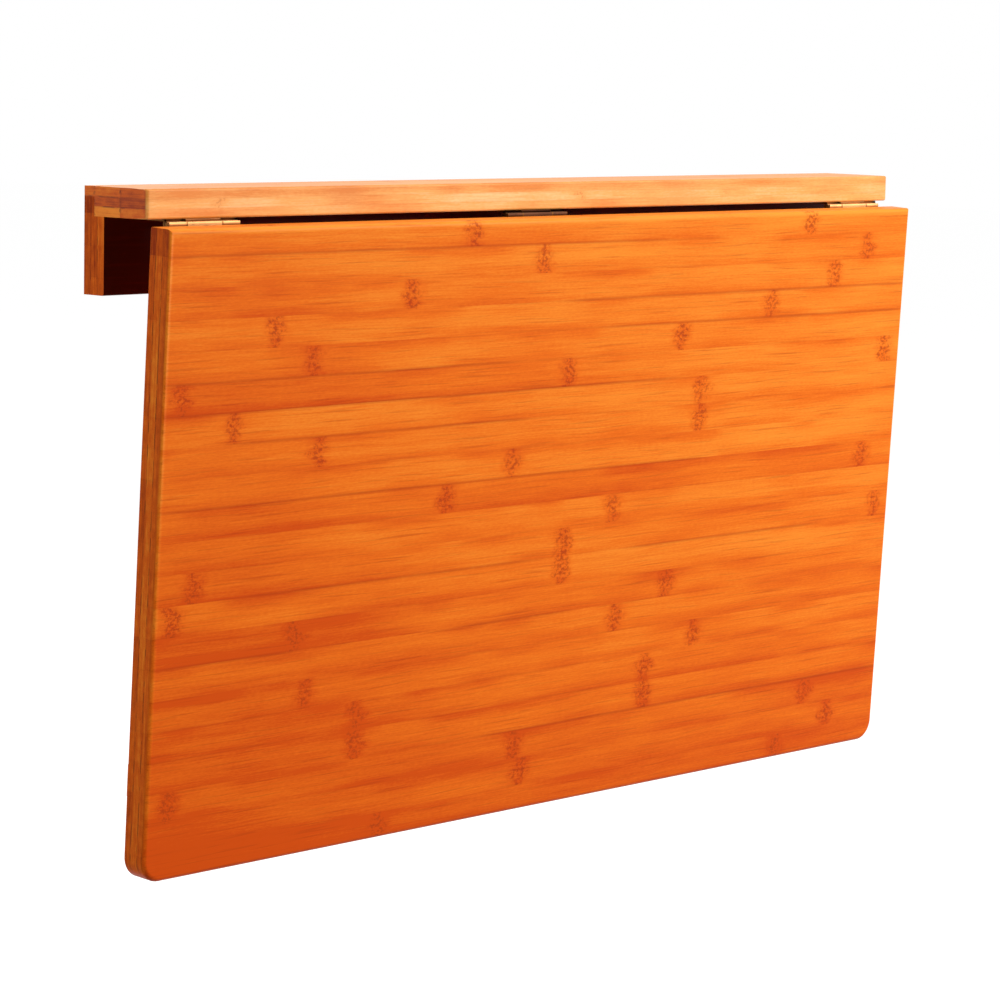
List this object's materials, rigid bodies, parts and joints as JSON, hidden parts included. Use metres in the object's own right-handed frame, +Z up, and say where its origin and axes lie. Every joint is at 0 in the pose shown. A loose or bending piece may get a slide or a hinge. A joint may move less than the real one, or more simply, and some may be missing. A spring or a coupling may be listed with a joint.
{
  "type": "wall-mounted drop-leaf table",
  "caption": "Bamboo dining table for a wall: a shelf on a wall rail carries a drop leaf on butt hinges, held level by a folding brace frame behind the leaf.",
  "frame": {"origin": "on the wall plane, at mid-length of the rail, on the line of its four wall screws", "axes": "+X along the wall to the right of a person facing it, +Y into the wall, +Z up"},
  "size_m": [0.8, 0.0859, 0.4646],
  "materials": {
    "bamboo": "satin clear lacquer on carbonised bamboo",
    "dowel_wood": "plain beech",
    "hinge_brass": "brass plated",
    "zinc_steel": "zinc plated",
    "rubber": "matt"
  },
  "bodies": {
    "wall_part": {"frame_dowels": "dowel_wood", "left_hinge_pin": "hinge_brass", "left_hinge_shelf_plate": "hinge_brass", "left_upright": "bamboo", "middle_hinge_pin": "hinge_brass", "middle_hinge_shelf_plate": "hinge_brass", "right_hinge_pin": "hinge_brass", "right_hinge_shelf_plate": "hinge_brass", "right_upright": "bamboo", "seat_rail": "bamboo", "shelf_board": "bamboo", "shelf_hinge_screws": "hinge_brass", "shelf_screws": "zinc_steel", "wall_rail": "bamboo"},
    "leaf": {"left_hinge_leaf_plate": "hinge_brass", "middle_hinge_leaf_plate": "hinge_brass", "right_hinge_leaf_plate": "hinge_brass", "leaf_hinge_screws": "hinge_brass", "table_leaf": "bamboo", "left_batten": "bamboo", "right_batten": "bamboo", "batten_screws": "zinc_steel", "pivot_bolts": "zinc_steel", "pivot_washers": "zinc_steel", "pivot_nuts": "zinc_steel"},
    "brace": {"left_brace_stile": "bamboo", "right_brace_stile": "bamboo", "foot_bar": "bamboo", "brace_crossbar": "bamboo", "brace_dowels": "dowel_wood", "left_foot_pad": "rubber", "right_foot_pad": "rubber"}
  },
  "joints": [
    {"name": "leaf_hinge", "type": "hinge", "parent": "wall_part", "child": "leaf", "pos_m": [0, -0.063, 0.02285], "axis": [-1, 0, 0], "range_deg": [0, 92.9]},
    {"name": "brace_pivot", "type": "hinge", "parent": "leaf", "child": "brace", "pos_m": [0, -0.04776, -0.13658], "axis": [1, 0, 0], "range_deg": [0, 148]}
  ],
  "couplings": [
    {"joint": "brace_pivot", "follows": "leaf_hinge", "ratio": 1.5931}
  ]
}
